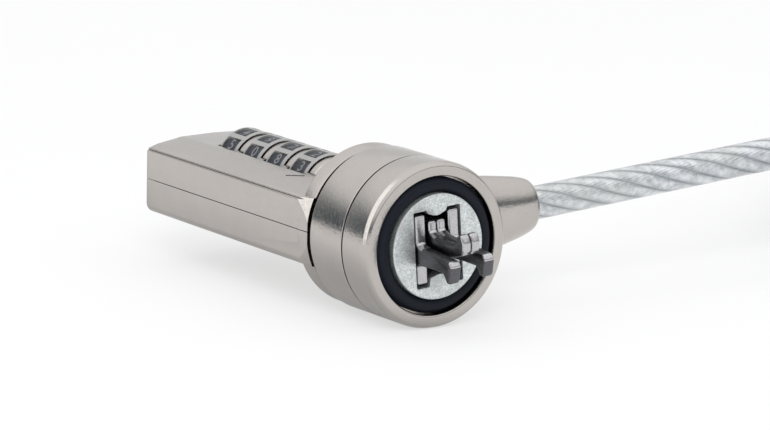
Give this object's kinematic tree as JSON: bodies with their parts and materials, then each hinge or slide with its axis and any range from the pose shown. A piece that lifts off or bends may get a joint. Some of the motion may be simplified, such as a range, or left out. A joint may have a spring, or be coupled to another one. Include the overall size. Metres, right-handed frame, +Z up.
{
  "type": "notebook cable lock",
  "caption": "Combination cable lock for a notebook's security slot: die-cast body with numbered dials, scissor hooks, swivel ring and coated steel cable with an eye.",
  "frame": {"origin": "centre of the lock's box, without the cable beyond its boss, on the surface it stands on", "axes": "+Y along the head and the body, from the hooks to the push button; +X toward the cable; +Z up, through the dials"},
  "size_m": [0.1839, 0.0871, 0.0208],
  "materials": {
    "nickel": "bright nickel plate over die-cast zinc, fine orange peel",
    "zinc": "bare zinc-plated steel, fine satin grain",
    "steel": "bright hardened steel with dark sheared sides",
    "rubber": "smooth matte black rubber",
    "dial": "nickel-plated dial with dark number cells",
    "brass": "plain machined brass",
    "cable": "clear PVC jacket over galvanised twisted steel strands",
    "tie": "matte black hook-and-loop strap"
  },
  "bodies": {
    "housing": {"lower_shell": "nickel", "upper_shell": "nickel", "front_collar": "nickel", "rubber_ring": "rubber", "retaining_clip": "steel", "hook_core": "zinc", "pivot_pin": "steel", "shell_pin_1": "steel", "shell_pin_2": "steel", "shell_pin_3": "steel", "shell_pin_4": "steel", "detent_spring": "steel", "return_spring": "steel"},
    "button": {"push_button": "nickel", "spindle": "steel", "drive_yoke": "zinc", "drive_pin": "steel"},
    "hooks_outer": {"hook_outer_left": "steel", "hook_outer_right": "steel"},
    "hooks_inner": {"hook_inner_left": "steel", "hook_inner_right": "steel"},
    "cable_swivel": {"swivel_ring": "nickel", "cable_ferrule": "steel", "cable_lead": "cable", "cable_coil": "cable", "cable_tail": "cable", "cable_eye": "cable", "eye_ferrule": "steel", "coil_tie_1": "tie", "coil_tie_2": "tie"},
    "dial_unit_1": {"dial_1": "dial", "code_sleeve_1": "brass"},
    "dial_unit_2": {"dial_2": "dial", "code_sleeve_2": "brass"},
    "dial_unit_3": {"dial_3": "dial", "code_sleeve_3": "brass"},
    "dial_unit_4": {"dial_4": "dial", "code_sleeve_4": "brass"}
  },
  "joints": [
    {"name": "button_press", "type": "slide", "parent": "housing", "child": "button", "axis": [0, -1, 0], "range_m": [0, 0.0025], "stiffness_N_per_m": 800, "springref_m": -0.002, "deforming": ["return_spring"]},
    {"name": "outer_swing", "type": "hinge", "parent": "housing", "child": "hooks_outer", "pos_m": [-0.00513, -0.0233, 0.0104], "axis": [-0.9962, 0, -0.0872], "range_deg": [0, 10.5]},
    {"name": "inner_swing", "type": "hinge", "parent": "housing", "child": "hooks_inner", "pos_m": [-0.00513, -0.0233, 0.0104], "axis": [0.9962, 0, 0.0872], "range_deg": [0, 10.5]},
    {"name": "dial_turn_1", "type": "hinge", "parent": "housing", "child": "dial_unit_1", "pos_m": [-0.00513, 0.0009, 0.0133], "axis": [0, 1, 0], "continuous": true},
    {"name": "dial_turn_2", "type": "hinge", "parent": "housing", "child": "dial_unit_2", "pos_m": [-0.00513, 0.0064, 0.0133], "axis": [0, 1, 0], "continuous": true},
    {"name": "dial_turn_3", "type": "hinge", "parent": "housing", "child": "dial_unit_3", "pos_m": [-0.00513, 0.0119, 0.0133], "axis": [0, 1, 0], "continuous": true},
    {"name": "dial_turn_4", "type": "hinge", "parent": "housing", "child": "dial_unit_4", "pos_m": [-0.00513, 0.0174, 0.0133], "axis": [0, 1, 0], "continuous": true},
    {"name": "ring_swivel", "type": "hinge", "parent": "housing", "child": "cable_swivel", "pos_m": [-0.00513, -0.0154, 0.0104], "axis": [0, 1, 0], "continuous": true}
  ],
  "couplings": [
    {"joint": "outer_swing", "follows": "button_press", "rad_per_m": 73.304},
    {"joint": "inner_swing", "follows": "button_press", "rad_per_m": 73.304}
  ]
}
